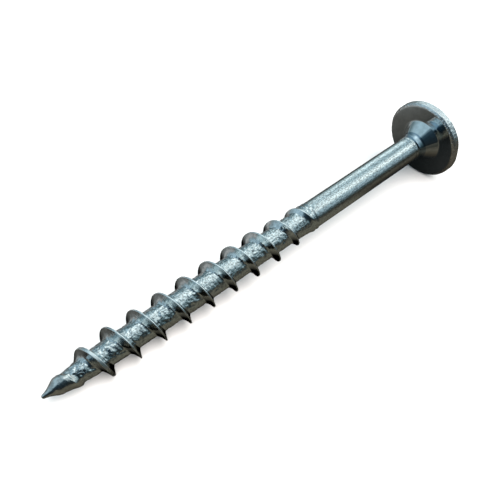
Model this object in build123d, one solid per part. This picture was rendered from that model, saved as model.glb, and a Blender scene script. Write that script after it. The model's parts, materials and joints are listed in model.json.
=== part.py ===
from build123d import *

import os
from math import atan2, ceil, cos, degrees, radians, sin, tan

# Pocket screw: a washer-head wood screw with a square drive and a coarse thread.
#
# The screw is one piece of steel, with its head forged and its thread rolled from the same
# wire, so it is one solid in one node.
#
# It is modelled standing on its own axis: the centre of the bearing face (the flat underside
# of the washer head) is the origin, the drive recess is above it and the point is at the
# bottom. It is then laid down the way it comes to rest on a table, on the rim of its head and
# on one crest near its point. The head is towards +X, and the origin is the centre of the
# bottom of its bounding box.
#
# All sizes are in millimetres. A station is a distance from the point along the axis.

# Overall sizes
LENGTH = 50.0  # bearing face to point: sold as 2 in
THREADS_PER_INCH = 9
PITCH = 25.4 / THREADS_PER_INCH
CREST_D = 4.22
ROOT_D = 2.62
SHANK_D = 2.92

# Washer head
HEAD_D = 9.20
RIM_BEVEL = 0.22  # bearing face to the widest part of the rim
RIM_BEVEL_W = 0.29  # width of the sloped ring around the flat bearing face
RIM_H = 0.83  # bearing face to the top of the rim's upright side
RIM_ROUND = 0.20  # rounding from the rim to the crown
CROWN_H = 1.85  # bearing face to the land around the recess
CROWN_BULGE = 0.13  # rise of the crown above a straight cone
LAND_D = 5.0

# Cone and neck under the head
CONE_D = 4.98
CONE_H = 1.28
NECK_D = 3.16
NECK_END = 2.20  # bearing face to the end of the neck
NECK_TAPER = 0.60  # length over which the neck narrows to the shank

# Square recess, size 2
RECESS_SQUARE = 2.84
RECESS_DEPTH = 1.90
RECESS_DRAFT = 1.0  # degrees a side
RECESS_CORNER_R = 0.20
RECESS_FLOOR_ANGLE = 60.0  # half angle of the conical floor
RECESS_LEAD_IN = 0.15

# Point and core
NOSE_R = 0.15
POINT_STATION = 1.65  # where the point's cone ends
POINT_D = 1.58
TAPER_STATION = 7.0  # where the swelling root is nearly full
TAPER_D = 2.38
FULL_ROOT_STATION = 16.0
SHOULDER_STATION = 31.0  # where the root has risen to the shank
SHOULDER_LENGTH = 3.4
SHOULDER_RING_D = 3.06  # ring of metal pushed up where the rolling stopped
SHOULDER_RING_W = 0.30

# Thread ridge, in a plane through the axis
CREST_W = 0.06
TIP_FLANK_W = 0.66  # crest's middle to the foot of the flank facing the point
HEAD_FLANK_W = 0.46  # crest's middle to the foot of the flank facing the head
FLANK_HOLLOW = 0.08  # how far the flanks are hollowed from straight
FOOT_DEPTH = 0.24  # depth of the flanks' feet below the root
RIDGE_REACH = 0.85  # depth of the ridge below the root, inside the core
RIDGE_SPARE = 0.06  # height above the crest, which the crest envelope trims off
FIRST_CREST = 0.755  # a station at which the crest's line passes the screw's underside

# Crest diameter along the screw
START_STATION = 1.60  # the ridge leaves the point
START_D = 1.64
GIMLET_STATION = 3.10  # the ridge begins to rise quickly
GIMLET_D = 2.20
RISE_STATION = 4.35
RISE_D = 3.52
BLUNT_STATION = 5.80
BLUNT_D = 4.02
FULL_STATION = 7.40
FADE_STATION = 24.6  # the ridge begins to run out
LOW_STATION = 26.9
LOW_D = 3.86
END_STATION = 30.9
END_D = 3.10
SUNK_D = 2.40  # below the shank, where the ridge is out of sight


def height(station):
    """Height of a station while the screw stands on its axis."""
    return station - LENGTH


def turned(*outline):
    """Solid of revolution from lines drawn as (radius, height)."""
    return revolve(Plane.XZ * make_face(list(outline)), Axis.Z)


def core():
    """Point, thread root, shoulder, shank, neck and cone."""
    ring_start = SHOULDER_STATION - SHOULDER_RING_W
    nose_tip = (0, height(0))
    nose_end = (NOSE_R, height(NOSE_R))
    inside = (0, RIM_H / 2)
    sides = [
        nose_end,
        (POINT_D / 2, height(POINT_STATION)),
        (TAPER_D / 2, height(TAPER_STATION)),
        (ROOT_D / 2, height(FULL_ROOT_STATION)),
        (ROOT_D / 2, height(SHOULDER_STATION - SHOULDER_LENGTH)),
        (SHANK_D / 2, height(ring_start - SHOULDER_RING_W)),
        (SHOULDER_RING_D / 2, height(ring_start)),
        (SHOULDER_RING_D / 2, height(SHOULDER_STATION)),
        (SHANK_D / 2, height(SHOULDER_STATION + SHOULDER_RING_W)),
        (SHANK_D / 2, -NECK_END),
        (NECK_D / 2, -NECK_END + NECK_TAPER),
        (NECK_D / 2, -CONE_H),
        (CONE_D / 2, 0),
        (CONE_D / 2, RIM_H / 2),
        inside,
    ]
    nose = ThreePointArc(nose_tip, (NOSE_R * 0.7071, height(NOSE_R * 0.2929)), nose_end)
    return turned(nose, Polyline(*sides), Line(inside, nose_tip))


def washer_head():
    """Round flange with a low crown."""
    rim = HEAD_D / 2
    rim_top = RIM_H + RIM_ROUND
    shoulder = (rim - RIM_ROUND, rim_top)
    land = (LAND_D / 2, CROWN_H)
    under = Polyline((0, 0), (rim - RIM_BEVEL_W, 0), (rim, RIM_BEVEL), (rim, RIM_H))
    edge = JernArc((rim, RIM_H), (0, 1), RIM_ROUND, 90)
    bulge = ((shoulder[0] + land[0]) / 2, (rim_top + CROWN_H) / 2 + CROWN_BULGE)
    crown = ThreePointArc(shoulder, bulge, land)
    top = Polyline(land, (0, CROWN_H), (0, 0))
    return turned(under, edge, crown, top)


def recess():
    """Tapered square hole with a conical floor and a chamfered mouth."""
    side = RECESS_SQUARE / 2
    slope = tan(radians(RECESS_FLOOR_ANGLE))
    floor = CROWN_H - RECESS_DEPTH
    above = CROWN_H + RIM_H
    square = RectangleRounded(RECESS_SQUARE, RECESS_SQUARE, RECESS_CORNER_R)
    hole = extrude(Pos(0, 0, CROWN_H) * square, amount=-2 * RECESS_DEPTH, taper=RECESS_DRAFT)
    drilled = turned(
        Polyline(
            (0, above),
            (2 * side, above),
            (2 * side, floor + side / slope),
            (0, floor - side / slope),
            close=True,
        )
    )
    mouth = side + RECESS_LEAD_IN
    lead_in = turned(Polyline((0, CROWN_H), (mouth, CROWN_H), (0, CROWN_H - mouth), close=True))
    return (hole & drilled) + lead_in


def ridge_turn():
    """One turn of the thread's ridge, untrimmed and reaching into the core."""
    top_r = CREST_D / 2 + RIDGE_SPARE
    foot_r = ROOT_D / 2 - FOOT_DEPTH
    inner_r = ROOT_D / 2 - RIDGE_REACH
    mid_r = (top_r + foot_r) / 2
    half = CREST_W / 2
    tip_mid = (half + TIP_FLANK_W) / 2 - FLANK_HOLLOW
    head_mid = (half + HEAD_FLANK_W) / 2 - FLANK_HOLLOW
    section = make_face(
        [
            ThreePointArc((top_r, -half), (mid_r, -tip_mid), (foot_r, -TIP_FLANK_W)),
            Polyline(
                (foot_r, -TIP_FLANK_W),
                (inner_r, -TIP_FLANK_W),
                (inner_r, HEAD_FLANK_W),
                (foot_r, HEAD_FLANK_W),
            ),
            ThreePointArc((foot_r, HEAD_FLANK_W), (mid_r, head_mid), (top_r, half)),
            Line((top_r, half), (top_r, -half)),
        ]
    )
    path = Helix(pitch=PITCH, height=PITCH, radius=top_r)
    swept = sweep(Plane.XZ * section, path=path, is_frenet=True)
    return Pos(0, 0, height(FIRST_CREST)) * swept


def crest_stations():
    """Station and crest diameter, from the point to the shank."""
    return [
        (START_STATION, START_D),
        (GIMLET_STATION, GIMLET_D),
        (RISE_STATION, RISE_D),
        (BLUNT_STATION, BLUNT_D),
        (FULL_STATION, CREST_D),
        (FADE_STATION, CREST_D),
        (LOW_STATION, LOW_D),
        (END_STATION, END_D),
    ]


def crest_envelope():
    """Solid of revolution that the crests just fill."""
    crests = [(d / 2, height(s)) for s, d in crest_stations()]
    before = (NOSE_R, height(START_STATION - NOSE_R))
    after = (SUNK_D / 2, height(END_STATION + PITCH / 4))
    axis = [(0, after[1]), (0, before[1])]
    return turned(Polyline(before, *crests, after, *axis, close=True))


def lying_tilt():
    """Angle in degrees between the axis and the table that the screw comes to rest at."""
    tilts = []
    crests = crest_stations()
    for (s0, d0), (s1, d1) in zip(crests, crests[1:]):
        turns = range(int((END_STATION - FIRST_CREST) / PITCH) + 1)
        below = [FIRST_CREST + turn * PITCH for turn in turns]
        for s in [s for s in below if s0 <= s < s1]:
            crest_d = d0 + (d1 - d0) * (s - s0) / (s1 - s0)
            tilts.append(degrees(atan2((HEAD_D - crest_d) / 2, LENGTH + RIM_BEVEL - s)))
    return min(tilts)


def threaded_core():
    """The core with the thread's turns joined to it one by one."""
    body = core()
    turn = ridge_turn()
    envelope = crest_envelope()
    for number in range(ceil((END_STATION - FIRST_CREST) / PITCH)):
        body += (Pos(0, 0, number * PITCH) * turn) & envelope
    return body


def pocket_screw():
    """The whole screw, lying on the table."""
    standing = threaded_core() + washer_head() - recess()
    tilt = radians(lying_tilt())
    rim_drop = HEAD_D / 2 * cos(tilt) - RIM_BEVEL * sin(tilt)
    lying = Rot(0, 90 - lying_tilt(), 0) * standing.solid()
    return Pos(-lying.bounding_box().center().X, 0, rim_drop) * lying


screw = pocket_screw()

os.makedirs("parts", exist_ok=True)
export_step(screw, "parts/pocket_screw.step")
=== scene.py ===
import json
from math import acos, asin, atan2, cos, hypot, pi, radians, sin, tan, tau

import bmesh
import bpy
import numpy as np
from mathutils import Matrix, Vector


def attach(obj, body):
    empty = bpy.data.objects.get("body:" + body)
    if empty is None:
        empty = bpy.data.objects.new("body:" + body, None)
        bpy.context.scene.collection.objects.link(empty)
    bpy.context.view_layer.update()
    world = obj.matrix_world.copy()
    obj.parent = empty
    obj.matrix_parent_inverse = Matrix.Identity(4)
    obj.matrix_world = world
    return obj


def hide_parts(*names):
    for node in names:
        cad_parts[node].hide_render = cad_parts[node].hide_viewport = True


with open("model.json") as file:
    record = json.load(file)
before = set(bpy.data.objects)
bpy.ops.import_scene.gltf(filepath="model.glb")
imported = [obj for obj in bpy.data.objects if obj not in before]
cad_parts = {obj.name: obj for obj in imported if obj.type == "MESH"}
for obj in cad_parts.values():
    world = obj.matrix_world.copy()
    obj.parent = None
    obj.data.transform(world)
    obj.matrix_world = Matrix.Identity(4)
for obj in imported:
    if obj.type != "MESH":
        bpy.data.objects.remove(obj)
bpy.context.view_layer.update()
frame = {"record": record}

# Pocket screw, lying on the table on the rim of its head and on one crest near its point.
# The mesh is worked out in millimetres around the screw's own axis, then laid down in the row
# frame. A station is a distance from the point along the axis. An angle turns right-handed
# about the axis, seen along it towards the head, from the screw's underside.

MM = 0.001

# Overall sizes, as in the CAD model
LENGTH = 50.0
PITCH = 25.4 / 9
FIRST_CREST = 0.755
SHANK_R = 1.46
HEAD_R = 4.60
CROWN_H = 1.85

# Radius of the core along the screw: point, thread root, shoulder, shank
CORE = [
    (0.21, 0.21),
    (0.55, 0.31),
    (0.95, 0.49),
    (1.30, 0.68),
    (1.60, 0.78),
    (2.40, 0.80),
    (3.40, 0.93),
    (4.90, 1.06),
    (7.10, 1.19),
    (9.50, 1.22),
    (13.0, 1.28),
    (17.0, 1.32),
    (24.0, 1.29),
    (28.0, 1.31),
    (29.6, 1.36),
    (30.6, 1.44),
    (31.6, SHANK_R),
]
RING_STATION = 30.98  # ring of metal pushed up where the rolling stopped
RING_H = 0.11
RING_W = 0.14
SECOND_RING_GAP = 0.60
SECOND_RING_SHARE = 0.7  # of the first ring's height and width

# Radius that the crest reaches along the screw
CREST = [
    (1.30, 0.66),
    (1.75, 0.88),
    (3.10, 1.11),
    (4.30, 1.75),
    (5.80, 2.01),
    (7.40, 2.11),
    (24.5, 2.11),
    (25.6, 2.07),
    (26.8, 1.94),
    (28.3, 1.82),
    (29.6, 1.74),
    (30.6, 1.65),
    (31.3, 1.50),
    (31.9, 1.42),
]
CREST_HALF_W = 0.060
BLUNT_SPARE = 0.08  # the first turn's crest is wider by this on each side
BLUNT_TO_SHARP = (5.5, 8.5)  # stations over which it narrows

# Flanks: width from the crest to the foot, and how hollow they are (1 is straight)
TIP_FLANK_W = 0.54
TIP_HOLLOW = 1.70
START_FLANK_W = 1.25  # where the thread leaves the point, as a long ramp
START_HOLLOW = 1.05
RAMP_TO_FLANK = (3.0, 5.0)  # stations over which the ramp becomes the usual flank
HEAD_FLANK_W = 0.36
HEAD_HOLLOW = 1.35
TIP_REACH = 0.12  # share of a turn by which each ridge's stretch is shifted to the point
LOW_RIDGE = 0.2  # a ridge lower than this counts as partly root

# Skin of the rolled stretch: heights of its bumps and widths of their grain
ROLLED_FROM = (0.5, 3.2)
ROLLED_TO = (29.8, 31.4)
CRUMPLE_H = 0.058
FLAKE_GRAIN = (0.50, 0.50, 0.24)
WARP_REACH = 0.30
WARP_GRAIN = 0.55
RUBBED_H = 0.010
RUBBED_GRAIN = 0.45
WAVE_H = 0.012
WAVE_GRAIN = 1.6

# Where the finishes of the rolled stretch change: shares of the ridge, and stations
RIDGE_SHARE = 0.05
CREST_SHARE = 0.93
POINT_END = 1.9
PINCHED_RIDGE_END = 3.6
SHANK_FINISH = RING_STATION - 0.45

# End of the shank, neck and cone, as (height above the bearing face, radius)
SHANK_END = [
    (-2.40, 1.460),
    (-2.32, 1.475),
    (-2.24, 1.470),
    (-2.17, 1.455),
]
NECK = [
    SHANK_END[-1],
    (-2.05, 1.458),
    (-1.90, 1.470),
    (-1.75, 1.490),
    (-1.60, 1.518),
    (-1.48, 1.555),
    (-1.38, 1.605),
]
CONE_START = (-1.26, 1.665)
CONE_R = 2.49

# Washer head, as in the CAD model apart from the bows, the knocks and the flat
RIM_BEVEL = 0.22
RIM_BEVEL_W = 0.29
RIM_BEVEL_BOW = 0.03
RIM_H = 0.83
RIM_ROUND = 0.20
CROWN_BOW = 0.12
LAND_R = 2.50
KNOCKS = 0.035  # depth of the small knocks round the rim
KNOCK_GRAIN = 0.45
KNOCKED_RIM = (HEAD_R - 0.6, HEAD_R - 0.1)  # radii over which the knocks set in
FLAT_DEPTH = 0.12  # flattened stretch of the rim, in front
FLAT_WIDTH = 0.26
FLAT_ANGLE = radians(270)

# Square recess
RECESS_HALF = 1.42
RECESS_CORNER_R = 0.20
RECESS_DEPTH = 1.90
RECESS_DRAFT = radians(1)
RECESS_SLOPE = radians(60)  # half angle of the conical floor
RECESS_LEAD_IN = 0.15

# Mesh
AROUND = 144  # vertices in a ring
HELIX_START = 36  # column at which the helical grid begins, a quarter turn on
TURNS = 10.64  # in the helical grid
TIP_RING = 0.50  # station where the rings of the point give way to the helical grid
TIP_STEPS = 4
SHANK_RING = 34.4  # station where plain rings take over again
SHANK_STEPS = 8
ROOT_STEPS = 17
LAND_STEPS = 4
SHARP_EDGE = radians(30)  # edges of the recess that bend more are drawn sharp
WELD = 0.0008 * MM

# Light around the screw, from the horizon in front (0) over the top to the one behind (1):
# towards the head's side, square to the screw, and towards the point's side
SKY_AT_HEAD = [
    (0.00, (0.09, 0.11, 0.11)),
    (0.06, (0.05, 0.09, 0.10)),
    (0.12, (0.28, 0.37, 0.42)),
    (0.19, (0.38, 0.52, 0.58)),
    (0.25, (0.40, 0.54, 0.60)),
    (0.32, (0.92, 1.08, 1.10)),
    (0.38, (1.22, 1.36, 1.36)),
    (0.45, (0.86, 1.02, 1.05)),
    (0.52, (0.54, 0.70, 0.75)),
    (0.59, (0.37, 0.53, 0.59)),
    (0.65, (0.42, 0.57, 0.63)),
    (0.72, (0.80, 1.00, 1.05)),
    (0.78, (1.05, 1.24, 1.28)),
    (0.85, (0.72, 0.90, 0.93)),
    (0.91, (0.36, 0.47, 0.49)),
    (1.00, (0.16, 0.22, 0.23)),
]
SKY_ACROSS = [
    (0.00, (0.025, 0.035, 0.035)),
    (0.06, (0.025, 0.045, 0.050)),
    (0.12, (0.07, 0.11, 0.12)),
    (0.19, (0.15, 0.23, 0.25)),
    (0.26, (0.34, 0.44, 0.48)),
    (0.32, (0.62, 0.76, 0.80)),
    (0.40, (0.68, 0.82, 0.86)),
    (0.46, (1.00, 1.15, 1.18)),
    (0.53, (1.40, 1.55, 1.55)),
    (0.59, (1.20, 1.35, 1.36)),
    (0.65, (0.62, 0.77, 0.82)),
    (0.72, (0.38, 0.52, 0.57)),
    (0.79, (0.20, 0.30, 0.34)),
    (0.86, (0.13, 0.21, 0.24)),
    (0.93, (0.12, 0.18, 0.20)),
    (1.00, (0.22, 0.27, 0.29)),
]
SKY_AT_POINT = [
    (0.00, (0.012, 0.016, 0.018)),
    (0.10, (0.012, 0.020, 0.026)),
    (0.25, (0.014, 0.028, 0.040)),
    (0.36, (0.030, 0.060, 0.085)),
    (0.41, (0.14, 0.22, 0.27)),
    (0.46, (0.36, 0.51, 0.60)),
    (0.70, (0.38, 0.54, 0.63)),
    (0.85, (0.33, 0.46, 0.53)),
    (0.93, (0.27, 0.36, 0.40)),
    (1.00, (0.26, 0.30, 0.31)),
]
POINT_TO_ACROSS = (-0.15, 0.10)  # X of a direction over which one gives way to the next
ACROSS_TO_HEAD = (0.38, 0.56)

# Bench across the screw, from 20 mm in front of it (0) to 30 mm behind it (1): along most of
# the screw, and next to its head. The near-black band along the line under the screw is a
# painted shadow of the screw, which the metal mirrors.
BENCH_WITH_PAINTED_SHADOW = [
    (0.00, (0.028, 0.028, 0.024)),
    (0.12, (0.046, 0.044, 0.035)),
    (0.20, (0.072, 0.069, 0.054)),
    (0.36, (0.074, 0.070, 0.054)),
    (0.39, (0.040, 0.038, 0.032)),
    (0.41, (0.006, 0.006, 0.006)),
    (0.44, (0.007, 0.007, 0.007)),
    (0.48, (0.034, 0.033, 0.031)),
    (0.52, (0.050, 0.049, 0.045)),
    (0.55, (0.062, 0.061, 0.058)),
    (0.58, (0.086, 0.088, 0.086)),
    (0.66, (0.110, 0.112, 0.110)),
    (0.76, (0.190, 0.192, 0.192)),
    (0.84, (0.225, 0.225, 0.225)),
]
BENCH_AT_HEAD_WITH_PAINTED_SHADOW = [
    (0.00, (0.024, 0.024, 0.020)),
    (0.12, (0.040, 0.037, 0.030)),
    (0.22, (0.050, 0.046, 0.036)),
    (0.28, (0.038, 0.033, 0.025)),
    (0.32, (0.024, 0.021, 0.016)),
    (0.36, (0.013, 0.014, 0.014)),
    (0.44, (0.014, 0.016, 0.016)),
    (0.48, (0.026, 0.026, 0.025)),
    (0.52, (0.048, 0.046, 0.042)),
    (0.57, (0.052, 0.050, 0.046)),
    (0.84, (0.050, 0.050, 0.048)),
]
BENCH_ACROSS = (-0.020, 0.030)  # Y of the first and the last band, in metres
BENCH_CHANGE = (0.014, 0.018)  # X over which the bench next to the head takes over

# Heights above the screw's axis for the painted shade on the ridge's and the crest's underside:
# under the first it is full, over the second there is none
FULLY_SHADED_BELOW = 0.10
UNSHADED_ABOVE = 0.90

# Stage: sizes and places in metres, power in watts
FLOOR = (0.80, 0.80, 0.80)
FLOOR_HALF = 1.5
WALL_HALF = 0.40  # also the height of the walls
WALL_FOOT = -0.01
BENCH_LIFT = 0.00001
KEY_POWER = 11.0
KEY_SIZE = 0.9
KEY_PLACE = (0.0, -0.36, 0.56)
KEY_COLOUR = (1.0, 0.94, 0.90)

# Camera: the screw's axis as it sees it, to the right, up and away, and the centre of the
# bearing face, measured the same way in millimetres
AXIS_IN_VIEW = (0.75067, 0.50467, 0.42639)
BEARING_IN_VIEW = (20.045, 12.827, 75.022)
LENS = 46.08


def curve(points, at):
    """Smooth curve through (station, radius) points that never overshoots them."""
    x, y = np.array(points).T
    slope = np.diff(y) / np.diff(x)
    product = slope[1:] * slope[:-1]
    mean = 2 * product / (slope[1:] + slope[:-1] + 1e-12)
    tangent = np.concatenate([slope[:1], np.where(product > 0, mean, 0), slope[-1:]])
    at = np.clip(at, x[0], x[-1])
    k = np.clip(np.searchsorted(x, at) - 1, 0, len(x) - 2)
    h = x[k + 1] - x[k]
    t = (at - x[k]) / h
    start = (1 + 2 * t) * (1 - t) ** 2 * y[k] + t * (1 - t) ** 2 * h * tangent[k]
    return start + t * t * (3 - 2 * t) * y[k + 1] + t * t * (t - 1) * h * tangent[k + 1]


def smooth(low, high, at):
    """0 below low, 1 above high, and a smooth step between them."""
    t = np.clip((at - low) / (high - low), 0, 1)
    return t * t * (3 - 2 * t)


class Noise:
    """Smooth seeded noise in space, from -1 to 1."""

    SIZE = 48

    def __init__(self, seed):
        self.table = np.random.default_rng(seed).uniform(-1, 1, (self.SIZE,) * 3)

    def __call__(self, points, grain):
        """The noise at each point, with bumps about one grain wide."""
        p = points / np.asarray(grain)
        cell = np.floor(p).astype(int)
        f = p - cell
        f = f * f * (3 - 2 * f)
        total = 0
        for corner in np.ndindex(2, 2, 2):
            x, y, z = np.moveaxis((cell + corner) % self.SIZE, -1, 0)
            weight = np.prod(np.where(corner, f, 1 - f), axis=-1)
            total = total + weight * self.table[x, y, z]
        return total


WAVES = Noise(11)
CREASES = Noise(23)
GRAIN = Noise(37)


def around_axis(station, angle, radius):
    """Points about the axis of the standing screw, in millimetres."""
    station, angle, radius = np.broadcast_arrays(station, angle, radius)
    return np.stack([radius * np.cos(angle), radius * np.sin(angle), station - LENGTH], axis=-1)


def core_radius(station):
    """Core with its rounded nose and the two rings at the end of the thread."""
    nose_r = CORE[0][1]
    nose = np.sqrt(np.clip(nose_r**2 - (nose_r - np.clip(station, 0, nose_r)) ** 2, 0, None))
    core = np.where(station < nose_r, nose, curve(CORE, station))
    for gap, share in ((0, 1), (SECOND_RING_GAP, SECOND_RING_SHARE)):
        away = (station - RING_STATION - gap) / (share * RING_W)
        core = core + share * RING_H * np.exp(-(away**2))
    return core


def ridge(station, angle):
    """Height of the thread's ridge above the core, and its share of the full section."""
    ahead = (station - FIRST_CREST) / PITCH - angle / tau
    offset = (ahead - np.round(ahead + TIP_REACH)) * PITCH
    crest_station = station - offset
    height = np.clip(curve(CREST, crest_station) - core_radius(crest_station), 0, None)
    height = height * smooth(CREST[0][0], CREST[1][0], crest_station)
    ramp = smooth(*RAMP_TO_FLANK, crest_station)
    tip_w = START_FLANK_W + (TIP_FLANK_W - START_FLANK_W) * ramp
    tip_hollow = START_HOLLOW + (TIP_HOLLOW - START_HOLLOW) * ramp
    width = np.where(offset < 0, tip_w, HEAD_FLANK_W)
    hollow = np.where(offset < 0, tip_hollow, HEAD_HOLLOW)
    half = CREST_HALF_W + BLUNT_SPARE * (1 - smooth(*BLUNT_TO_SHARP, crest_station))
    rise = (1 - np.clip((np.abs(offset) - half) / width, 0, 1)) ** hollow
    return height * rise, rise * np.clip(height / LOW_RIDGE, 0, 1)


def crumple(points):
    """Crinkled skin that rolling leaves on the root: flakes under two finer grains."""
    warp = np.stack([WAVES(points + shift, WARP_GRAIN) for shift in (0.0, 7.3, 14.6)], axis=-1)
    bent = points + WARP_REACH * warp
    flakes = 1 - 2.6 * np.abs(CREASES(bent, FLAKE_GRAIN))
    return 0.55 * flakes + 0.30 * WAVES(bent + 2.7, 0.30) + 0.30 * GRAIN(bent, 0.18)


def screw_surface(station, angle):
    """Finished surface from the point to the shank."""
    station, angle = np.broadcast_arrays(np.asarray(station, float), angle)
    height, share = ridge(station, angle)
    radius = core_radius(station) + height
    points = around_axis(station, angle, radius)
    rolled = smooth(*ROLLED_FROM, station) * (1 - smooth(*ROLLED_TO, station))
    radius = radius + CRUMPLE_H * rolled * (1 - share) ** 2 * crumple(points)
    radius = radius + RUBBED_H * rolled * share * GRAIN(points + 3.1, RUBBED_GRAIN)
    radius = radius + WAVE_H * rolled * WAVES(points + 5.1, WAVE_GRAIN)
    return around_axis(station, angle, radius)


class Skin:
    """Patches of the screw's surface while they are collected."""

    def __init__(self):
        self.points = []
        self.faces = []
        self.kinds = []

    def patch(self, grid, kind):
        """Adds a grid of points: its columns go round the axis and its rows towards the head."""
        columns, rows = grid.shape[:2]
        first = len(self.points)
        self.points.extend(grid.reshape(-1, 3).tolist())
        for c in range(columns - 1):
            for r in range(rows - 1):
                a = first + c * rows + r
                self.faces.append((a, a + rows, a + rows + 1, a + 1))
                self.kinds.append(kind[c, r] if isinstance(kind, np.ndarray) else kind)

    def rolled_patch(self, stations, angles):
        """Adds a stretch between the point and the shank, with its finish by place."""
        stations, angles = np.broadcast_arrays(stations, angles)
        share = ridge(stations, angles)[1][:-1, :-1]
        station = stations[:-1, :-1]
        on_ridge = share > RIDGE_SHARE
        pinched = (station < POINT_END) | ((station < PINCHED_RIDGE_END) & on_ridge)
        kind = np.where(on_ridge, "ridge", "root")
        kind = np.where(share > CREST_SHARE, "crest", kind)
        kind = np.where(pinched, "point", kind)
        kind = np.where(station > SHANK_FINISH, "shank", kind)
        self.patch(screw_surface(stations, angles), kind)


def row_offsets():
    """Offsets of the helical grid's rows from the crest, closest together at its edges."""
    tip = [1.0, 0.86, 0.72, 0.58, 0.45, 0.34, 0.25, 0.17, 0.11, 0.06, 0.025, 0]
    head = [0, 0.03, 0.08, 0.15, 0.24, 0.36, 0.5, 0.66, 0.83, 1.0]
    rows = [-CREST_HALF_W - TIP_FLANK_W * t for t in tip] + [0.0]
    rows += [CREST_HALF_W + HEAD_FLANK_W * t for t in head]
    root_w = PITCH - (rows[-1] - rows[0])
    rows += [rows[-1] + root_w * (k + 1) / ROOT_STEPS for k in range(ROOT_STEPS)]
    return np.array(rows)


def add_thread(skin):
    """The thread as one helical grid, with a wedge at each end that closes it to a ring."""
    rows = row_offsets()
    depth = (rows - rows[0]) / PITCH
    column = HELIX_START + np.arange(int(TURNS * AROUND) + 1)
    angle = column * tau / AROUND
    edge = FIRST_CREST + PITCH * angle / tau + rows[0]
    skin.rolled_patch(edge[:, None] + depth * PITCH, angle[:, None])

    share = np.arange(AROUND + 1)[:, None] / AROUND
    low = edge[0]
    approach = TIP_RING + (low - TIP_RING) * np.arange(TIP_STEPS)[None, :] / TIP_STEPS
    wedge = low + PITCH * depth[None, :] * share
    stations = np.concatenate([np.repeat(approach, AROUND + 1, 0), wedge], axis=1)
    skin.rolled_patch(stations, angle[0] + share * tau)

    high = edge[-1] + PITCH
    wedge = high - PITCH * (1 - share) * (1 - depth[None, :])
    leave = high + (SHANK_RING - high) * np.arange(1, SHANK_STEPS + 1)[None, :] / SHANK_STEPS
    stations = np.concatenate([wedge, np.repeat(leave, AROUND + 1, 0)], axis=1)
    skin.rolled_patch(stations, angle[-1] + share * tau)


def ring_angles():
    """Angles of one closed ring, with the first repeated at the end."""
    return np.arange(AROUND + 1)[:, None] * tau / AROUND


def add_point(skin):
    """Nose and the first stretch of the point."""
    nose = [CORE[0][1] * (1 - cos(radians(t))) for t in (0, 15, 30, 45, 60, 75, 90)]
    stations = np.array(nose + [0.23, 0.29, 0.36, 0.43, TIP_RING])
    skin.rolled_patch(stations[None, :], ring_angles())


def turned(skin, profile, kind):
    """Lathed patch from (height above the bearing face, radius) points."""
    profile = np.array(profile)
    radius = profile[None, :, 1]
    points = around_axis(LENGTH + profile[None, :, 0], ring_angles(), radius)
    knocks = 0.5 * WAVES(points, KNOCK_GRAIN) - 0.5
    flat = np.exp(-(((ring_angles() - FLAT_ANGLE) / FLAT_WIDTH) ** 2))
    edge = smooth(*KNOCKED_RIM, radius)
    radius = radius + edge * (KNOCKS * knocks - FLAT_DEPTH * flat)
    skin.patch(around_axis(LENGTH + profile[None, :, 0], ring_angles(), radius), kind)


def between(start, end, count, bulge=0.0):
    """Points from start to end, both included, bowed outwards by bulge."""
    (x0, y0), (x1, y1) = start, end
    length = hypot(x1 - x0, y1 - y0)
    nx, ny = -(y1 - y0) / length, (x1 - x0) / length
    points = []
    for t in np.linspace(0, 1, count):
        bow = bulge * 4 * t * (1 - t)
        points.append((x0 + (x1 - x0) * t + nx * bow, y0 + (y1 - y0) * t + ny * bow))
    return points


def add_shank(skin):
    """Plain shank, with its small rounded end."""
    start = (SHANK_RING - LENGTH, SHANK_R)
    turned(skin, between(start, SHANK_END[0], 60), "shank")
    turned(skin, SHANK_END, "shank")


def add_head(skin):
    """Neck, cone, bearing face, rim and crown."""
    cone_top = (-0.03, CONE_R - 0.02)
    bearing_start = (0.0, CONE_R + 0.02)
    bearing_end = (0.0, HEAD_R - RIM_BEVEL_W)
    turned(skin, NECK, "neck")
    turned(skin, between(NECK[-1], CONE_START, 3), "neck")
    turned(skin, between(CONE_START, cone_top, 12), "forged")
    turned(skin, [cone_top, (-0.01, CONE_R), bearing_start], "forged")
    turned(skin, between(bearing_start, bearing_end, 12), "forged")
    rim_bottom = (RIM_BEVEL, HEAD_R)
    turned(skin, between(bearing_end, rim_bottom, 6, RIM_BEVEL_BOW), "rim")
    turned(skin, between(rim_bottom, (RIM_H, HEAD_R), 10), "rim")
    arc = [
        (RIM_H + RIM_ROUND * sin(t), HEAD_R - RIM_ROUND * (1 - cos(t)))
        for t in np.radians(np.linspace(0, 90, 9))
    ]
    turned(skin, arc, "rim")
    turned(skin, between(arc[-1], (CROWN_H, LAND_R), 10, CROWN_BOW), "forged")


def square_ring(half, corner):
    """Radius and angle of a rounded square's outline, one per ring vertex."""
    angle = ring_angles()[:, 0]
    folded = np.abs((angle + pi / 4) % (pi / 2) - pi / 4)
    flat = half / np.cos(folded)
    inner = half - corner
    along = inner * (np.cos(folded) + np.sin(folded))
    rounded = along + np.sqrt(np.clip(along**2 - 2 * inner**2 + corner**2, 0, None))
    on_corner = half * np.tan(folded) > inner
    return np.where(on_corner, rounded, flat)


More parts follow.
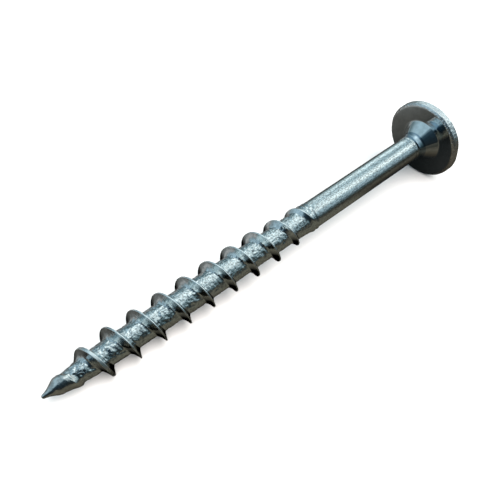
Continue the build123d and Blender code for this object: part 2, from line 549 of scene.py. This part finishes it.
def add_recess(skin):
    """Land, chamfered mouth, square walls and conical floor."""
    angles = ring_angles()
    square = square_ring(RECESS_HALF, RECESS_CORNER_R)
    mouth = np.maximum(square, RECESS_HALF + RECESS_LEAD_IN)
    rings = []
    for t in np.linspace(0, 1, LAND_STEPS + 1):
        rings.append((np.full_like(mouth, CROWN_H), LAND_R + (mouth - LAND_R) * t))
    rings.append((CROWN_H - (mouth - square), square))
    for t in np.linspace(0.1, 1, 8):
        depth = RECESS_DEPTH * t
        inner = square - depth * tan(RECESS_DRAFT)
        lift = (inner - RECESS_HALF) / tan(RECESS_SLOPE)
        rings.append((CROWN_H - depth + lift * smooth(0.5, 1.0, t), inner))
    height, edge = rings[-1]
    for t in (0.75, 0.5, 0.25, 0.0):
        drop = edge * (1 - t) / tan(RECESS_SLOPE)
        rings.append((height - drop, edge * t))
    stations = np.stack([LENGTH + h for h, r in rings], axis=1)
    radii = np.stack([r for h, r in rings], axis=1)
    kind = np.where(np.arange(len(rings) - 1) < LAND_STEPS, "forged", "recess")
    skin.patch(around_axis(stations, angles, radii), np.tile(kind, (AROUND, 1)))


def recess_mount():
    """Mouth of the recess and the screw's axis out of it."""
    mounts = {mount["name"]: mount for mount in frame["record"]["mounts"]}
    mouth = mounts["drive_recess"]
    return Vector(mouth["pos_m"]), Vector(mouth["axis"]).normalized()


def lying_tilt():
    """Angle between the screw's axis and the table."""
    return asin(recess_mount()[1].z)


def lying_matrix():
    """Places the standing screw, in millimetres, in the row frame."""
    mouth, axis = recess_mount()
    bearing = mouth - axis * CROWN_H * MM
    side = Vector((0, 1, 0))
    down = side.cross(axis)
    turn = Matrix((down, side, axis)).transposed().to_4x4()
    return Matrix.Translation(bearing) @ turn @ Matrix.Scale(MM, 4)


def build_screw(materials):
    """The whole screw as one closed mesh."""
    skin = Skin()
    add_point(skin)
    add_thread(skin)
    add_shank(skin)
    add_head(skin)
    add_recess(skin)
    names = list(materials)
    mesh = bpy.data.meshes.new("pocket_screw_skin")
    mesh.from_pydata(skin.points, [], skin.faces)
    for name in names:
        mesh.materials.append(materials[name])
    mesh.polygons.foreach_set("material_index", [names.index(kind) for kind in skin.kinds])
    mesh.transform(lying_matrix())
    shape = bmesh.new()
    shape.from_mesh(mesh)
    bmesh.ops.remove_doubles(shape, verts=shape.verts, dist=WELD)
    bmesh.ops.dissolve_degenerate(shape, edges=shape.edges, dist=WELD)
    bmesh.ops.recalc_face_normals(shape, faces=shape.faces)
    cut = names.index("recess")
    for edge in shape.edges:
        if any(face.material_index == cut for face in edge.link_faces):
            edge.smooth = edge.calc_face_angle(0) < SHARP_EDGE
    shape.to_mesh(mesh)
    shape.free()
    mesh.polygons.foreach_set("use_smooth", [True] * len(mesh.polygons))
    screw = bpy.data.objects.new("pocket_screw_skin", mesh)
    bpy.context.collection.objects.link(screw)
    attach(screw, "root")
    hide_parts("pocket_screw")
    return screw


def fed(nodes, links, kind, **sockets):
    """New node whose input sockets are set from values or fed from other sockets."""
    node = nodes.new(kind)
    for name, value in sockets.items():
        socket = node.inputs[name.replace("_", " ")]
        if isinstance(value, bpy.types.NodeSocket):
            links.new(value, socket)
        else:
            socket.default_value = value
    return node


def spread(nodes, links, value, source, target):
    """Maps a value from the source range to the target range, and holds it there."""
    node = fed(nodes, links, "ShaderNodeMapRange", Value=value)
    node.inputs["From Min"].default_value, node.inputs["From Max"].default_value = source
    node.inputs["To Min"].default_value, node.inputs["To Max"].default_value = target
    return node.outputs["Result"]


def mixed(nodes, links, factor, first, second):
    """Colour between two others."""
    node = nodes.new("ShaderNodeMix")
    node.data_type = "RGBA"
    links.new(factor, node.inputs["Factor"])
    for socket, colour in (("A", first), ("B", second)):
        if isinstance(colour, bpy.types.NodeSocket):
            links.new(colour, node.inputs[socket])
        else:
            node.inputs[socket].default_value = (*colour, 1)
    return node.outputs["Result"]


def zinc(name, colour, roughness, bump, grain, stretch=1, crease=0.0, streak=0.0, under=0.0):
    """Bright zinc plating.

    Grain, bump and streak are in metres, and stretch lengthens the grain along the screw.
    Crease darkens the low places and streak adds long scratches. Under paints shade on the lower
    half: it darkens the colour and the grazing reflections below the screw's axis.
    """
    material = bpy.data.materials.new(name)
    material.use_nodes = True
    nodes = material.node_tree.nodes
    links = material.node_tree.links
    shader = nodes["Principled BSDF"]
    shader.inputs["Metallic"].default_value = 1.0
    place = nodes.new("ShaderNodeTexCoord").outputs["Object"]
    turn = (0, -lying_tilt(), 0)

    def along_screw(*scale):
        mapping = fed(nodes, links, "ShaderNodeMapping", Vector=place, Rotation=turn, Scale=scale)
        mapping.vector_type = "TEXTURE"
        return mapping.outputs[0]

    def noise(size, length, detail):
        spot = along_screw(size * length, size, size)
        node = fed(nodes, links, "ShaderNodeTexNoise", Vector=spot, Scale=1.0, Detail=detail)
        return node.outputs["Fac"]

    fine = noise(grain, stretch, 4.0)
    height = spread(nodes, links, fine, (0.36, 0.64 - 0.1 * crease), (0, 1))
    finish = mixed(nodes, links, height, [c * (0.86 - crease) for c in colour], colour)
    # Painted shade on the underside: colour and grazing reflections darken below the axis.
    if under:
        split = fed(nodes, links, "ShaderNodeSeparateXYZ", Vector=along_screw(1, 1, 1))
        axis = (Matrix.Rotation(lying_tilt(), 3, "Y") @ recess_mount()[0]).z
        low, high = axis + FULLY_SHADED_BELOW * MM, axis + UNSHADED_ABOVE * MM
        painted_shade_level = spread(nodes, links, split.outputs["Z"], (low, high), (1 - under, 1))
        links.new(painted_shade_level, shader.inputs["Specular Tint"])
        shade = nodes.new("ShaderNodeVectorMath")
        shade.operation = "SCALE"
        links.new(finish, shade.inputs[0])
        links.new(painted_shade_level, shade.inputs["Scale"])
        finish = shade.outputs["Vector"]
    links.new(finish, shader.inputs["Base Color"])
    gloss = spread(nodes, links, fine, (0.3, 0.7), (roughness * 1.3, roughness * 0.75))
    links.new(gloss, shader.inputs["Roughness"])
    relief = fed(nodes, links, "ShaderNodeBump", Strength=1.0, Distance=bump, Height=fine)
    if streak:
        scratches = noise(grain * 0.5, 30, 2.0)
        relief = fed(
            nodes,
            links,
            "ShaderNodeBump",
            Strength=1.0,
            Distance=streak,
            Height=scratches,
            Normal=relief.outputs["Normal"],
        )
    links.new(relief.outputs["Normal"], shader.inputs["Normal"])
    return material


def screw_materials():
    """One finish for each way that the steel was worked before it was plated, with painted shade on
    the undersides of the ridge and the crest and in the recess.
    """
    colour = (0.82, 0.87, 0.88)
    return {
        "root": zinc("zinc_rolled_root", colour, 0.07, 0.000040, 0.00018, crease=0.35),
        # Ridge and crest: under paints shade on their undersides.
        "ridge": zinc("zinc_rolled_ridge_painted_underside_shade", colour, 0.10, 0.000016, 0.0003, crease=0.12, under=0.96),
        "crest": zinc("zinc_rubbed_crest_painted_underside_shade", (0.97, 1.0, 1.0), 0.28, 0.000010, 0.0003, under=0.7),
        "point": zinc("zinc_pinched_point", (0.80, 0.80, 0.78), 0.20, 0.000030, 0.0004, crease=0.20),
        "shank": zinc(
            "zinc_drawn_shank", colour, 0.05, 0.000005, 0.00012, 2, crease=0.40, streak=0.000007
        ),
        "neck": zinc("zinc_forged_neck", (0.44, 0.54, 0.62), 0.06, 0.000003, 0.0005),
        "forged": zinc("zinc_forged_head", colour, 0.05, 0.000003, 0.0005),
        # The recess's darker colour is painted shade for its depth; its roughness is its own.
        "recess": zinc("zinc_punched_recess_painted_shade", (0.52, 0.55, 0.56), 0.30, 0.000002, 0.0005),
        "rim": zinc("zinc_hammered_rim", (1.0, 1.0, 1.0), 0.25, 0.000085, 0.00026, crease=0.20),
    }


def plain_material(name, colour, roughness):
    """Even, matt material for the stage."""
    material = bpy.data.materials.new(name)
    material.use_nodes = True
    shader = material.node_tree.nodes["Principled BSDF"]
    shader.inputs["Base Color"].default_value = (*colour, 1)
    shader.inputs["Roughness"].default_value = roughness
    shader.inputs["Specular IOR Level"].default_value = 0.0
    return material


def colour_ramp(nodes, stops):
    """Smooth ramp through (position, colour) stops."""
    node = nodes.new("ShaderNodeValToRGB")
    node.color_ramp.interpolation = "EASE"
    ramp = node.color_ramp.elements
    while len(ramp) < len(stops):
        ramp.new(0.5)
    for element, (position, colour) in zip(ramp, stops):
        element.position = position
        element.color = (*colour, 1)
    return node


def square_plan(half):
    """Corners of a square around the origin."""
    return [(-half, -half), (half, -half), (half, half), (-half, half)]


def table(name, material, height):
    """A large flat table top."""
    mesh = bpy.data.meshes.new(name)
    corners = [(x, y, height) for x, y in square_plan(FLOOR_HALF)]
    mesh.from_pydata(corners, [], [(0, 1, 2, 3)])
    mesh.materials.append(material)
    top = bpy.data.objects.new(name, mesh)
    bpy.context.collection.objects.link(top)
    return top


def backdrop():
    """White walls round the table, for the eye only."""
    paint = plain_material("white_wall", (0.0, 0.0, 0.0), 1.0)
    shader = paint.node_tree.nodes["Principled BSDF"]
    shader.inputs["Emission Color"].default_value = (1, 1, 1, 1)
    shader.inputs["Emission Strength"].default_value = 1.0
    paint.cycles.emission_sampling = "NONE"
    mesh = bpy.data.meshes.new("backdrop")
    corners = [(x, y, z) for z in (WALL_FOOT, WALL_HALF) for x, y in square_plan(WALL_HALF)]
    mesh.from_pydata(corners, [], [(k, (k + 1) % 4, (k + 1) % 4 + 4, k + 4) for k in range(4)])
    mesh.materials.append(paint)
    walls = bpy.data.objects.new("backdrop", mesh)
    bpy.context.collection.objects.link(walls)
    walls.visible_diffuse = False
    walls.visible_glossy = False
    walls.visible_shadow = False


def bench_material():
    """Matt bench with a painted shadow along the line under the screw, paler away from it."""
    material = plain_material("bench", (0.1, 0.1, 0.1), 1.0)
    nodes = material.node_tree.nodes
    links = material.node_tree.links
    place = nodes.new("ShaderNodeTexCoord").outputs["Object"]
    split = fed(nodes, links, "ShaderNodeSeparateXYZ", Vector=place)
    across = spread(nodes, links, split.outputs["Y"], BENCH_ACROSS, (0, 1))
    along = spread(nodes, links, split.outputs["X"], BENCH_CHANGE, (0, 1))
    # The dark band in both ramps is a painted shadow of the screw.
    bands = [colour_ramp(nodes, stops) for stops in (BENCH_WITH_PAINTED_SHADOW, BENCH_AT_HEAD_WITH_PAINTED_SHADOW)]
    for band in bands:
        links.new(across, band.inputs["Fac"])
    colour = mixed(nodes, links, along, *[band.outputs["Color"] for band in bands])
    links.new(colour, nodes["Principled BSDF"].inputs["Base Color"])
    return material


def build_stage():
    """Floor and walls for the eye, and the darker bench that the bright metal mirrors."""
    floor = table("floor", plain_material("pale_paper", FLOOR, 1.0), 0.0)
    floor.visible_glossy = False
    bench = table("bench", bench_material(), BENCH_LIFT)
    bench.visible_camera = False
    bench.visible_diffuse = False
    bench.visible_shadow = False
    backdrop()


def build_sky():
    """Soft boxes in front and behind, as bands of light about the screw's length."""
    world = bpy.data.worlds.new("studio")
    bpy.context.scene.world = world
    world.use_nodes = True
    nodes = world.node_tree.nodes
    links = world.node_tree.links
    place = nodes.new("ShaderNodeTexCoord")
    split = nodes.new("ShaderNodeSeparateXYZ")
    links.new(place.outputs["Generated"], split.inputs["Vector"])
    flip = nodes.new("ShaderNodeMath")
    flip.operation = "MULTIPLY"
    flip.inputs[1].default_value = -1
    links.new(split.outputs["Y"], flip.inputs[0])
    turn = nodes.new("ShaderNodeMath")
    turn.operation = "ARCTAN2"
    links.new(split.outputs["Z"], turn.inputs[0])
    links.new(flip.outputs["Value"], turn.inputs[1])
    share = nodes.new("ShaderNodeMath")
    share.operation = "DIVIDE"
    share.inputs[1].default_value = pi
    links.new(turn.outputs["Value"], share.inputs[0])
    sky = colour_ramp(nodes, SKY_AT_POINT)
    links.new(share.outputs["Value"], sky.inputs["Fac"])
    sky = sky.outputs["Color"]
    for stops, change in ((SKY_ACROSS, POINT_TO_ACROSS), (SKY_AT_HEAD, ACROSS_TO_HEAD)):
        bands = colour_ramp(nodes, stops)
        links.new(share.outputs["Value"], bands.inputs["Fac"])
        ahead = spread(nodes, links, split.outputs["X"], change, (0, 1))
        sky = mixed(nodes, links, ahead, sky, bands.outputs["Color"])
    links.new(sky, nodes["Background"].inputs["Color"])
    nodes["Background"].inputs["Strength"].default_value = 1.0


def build_lights():
    """Broad soft key from above the camera, which keeps the shadow behind the screw."""
    lamp = bpy.data.lights.new("key", "AREA")
    lamp.shape = "DISK"
    lamp.size = KEY_SIZE
    lamp.energy = KEY_POWER
    lamp.color = KEY_COLOUR
    key = bpy.data.objects.new("key", lamp)
    bpy.context.collection.objects.link(key)
    key.location = KEY_PLACE
    key.rotation_euler = Vector(key.location).to_track_quat("Z", "Y").to_euler()
    key.visible_glossy = False


def build_camera():
    """Camera that looks down on the screw from beside its point."""
    placed = lying_matrix()
    bearing = placed @ Vector((0, 0, 0))
    axis = (placed @ Vector((0, 0, 1)) - bearing).normalized()
    tilt = asin(axis.z)
    across, up_share, along = AXIS_IN_VIEW
    heading = asin(across / cos(tilt))
    drop = acos(sin(tilt) / hypot(up_share, along)) - atan2(along, up_share)
    forward = Vector((cos(drop) * cos(heading), cos(drop) * sin(heading), -sin(drop)))
    right = Vector((sin(heading), -cos(heading), 0))
    up = right.cross(forward)
    lens = bpy.data.cameras.new("camera")
    lens.lens = LENS
    lens.sensor_width = 36.0
    lens.clip_start = 0.001
    lens.clip_end = 10.0
    camera = bpy.data.objects.new("camera", lens)
    bpy.context.collection.objects.link(camera)
    to_right, upwards, ahead = BEARING_IN_VIEW
    place = bearing - MM * (to_right * right + upwards * up + ahead * forward)
    turn = Matrix((right, up, -forward)).transposed().to_4x4()
    camera.matrix_world = Matrix.Translation(place) @ turn
    bpy.context.scene.camera = camera


build_camera()
build_screw(screw_materials())
build_stage()
build_sky()
build_lights()
bpy.context.scene.view_settings.view_transform = "Standard"
